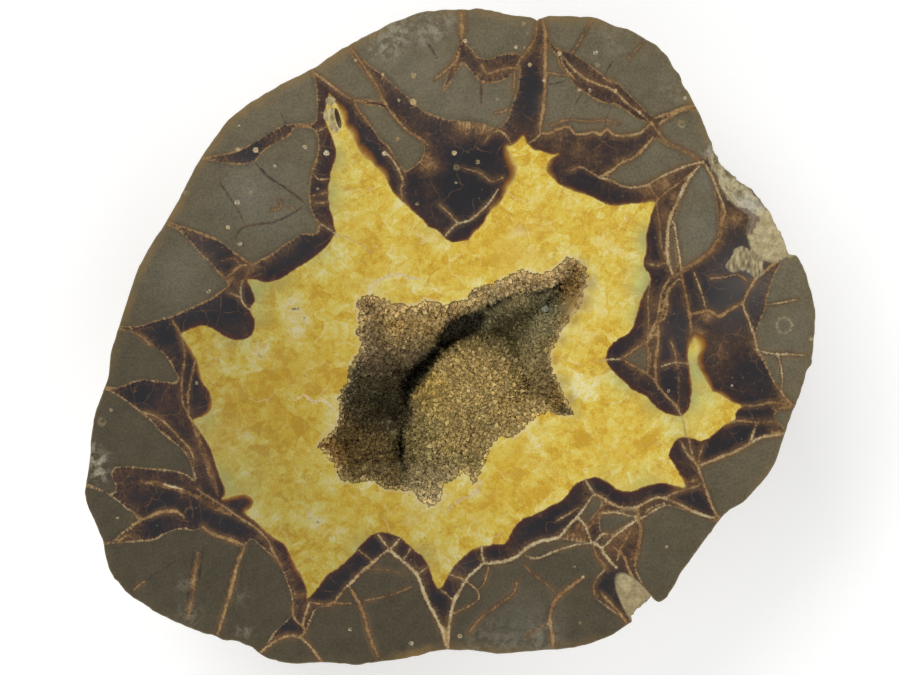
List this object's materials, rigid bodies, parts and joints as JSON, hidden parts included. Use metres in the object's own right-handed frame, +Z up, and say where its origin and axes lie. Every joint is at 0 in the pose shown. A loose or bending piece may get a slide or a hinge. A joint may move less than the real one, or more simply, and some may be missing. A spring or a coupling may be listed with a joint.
{
  "type": "septarian nodule half",
  "caption": "Lumpy domed septarian nodule half with a sawn and polished face, filled shrinkage cracks and a crystal-lined hollow in the middle.",
  "frame": {"origin": "on the surface the nodule lies on, under the middle of its outline", "axes": "+Z up, square to the sawn face; +X along the face's longest side to side width"},
  "size_m": [0.1902, 0.1712, 0.072],
  "materials": {
    "nodule_stone": "polished face, rough natural back",
    "crystals": "sparkling, rough"
  },
  "bodies": {
    "root": {"nodule": "nodule_stone", "crystal_crust": "crystals"}
  },
  "joints": []
}
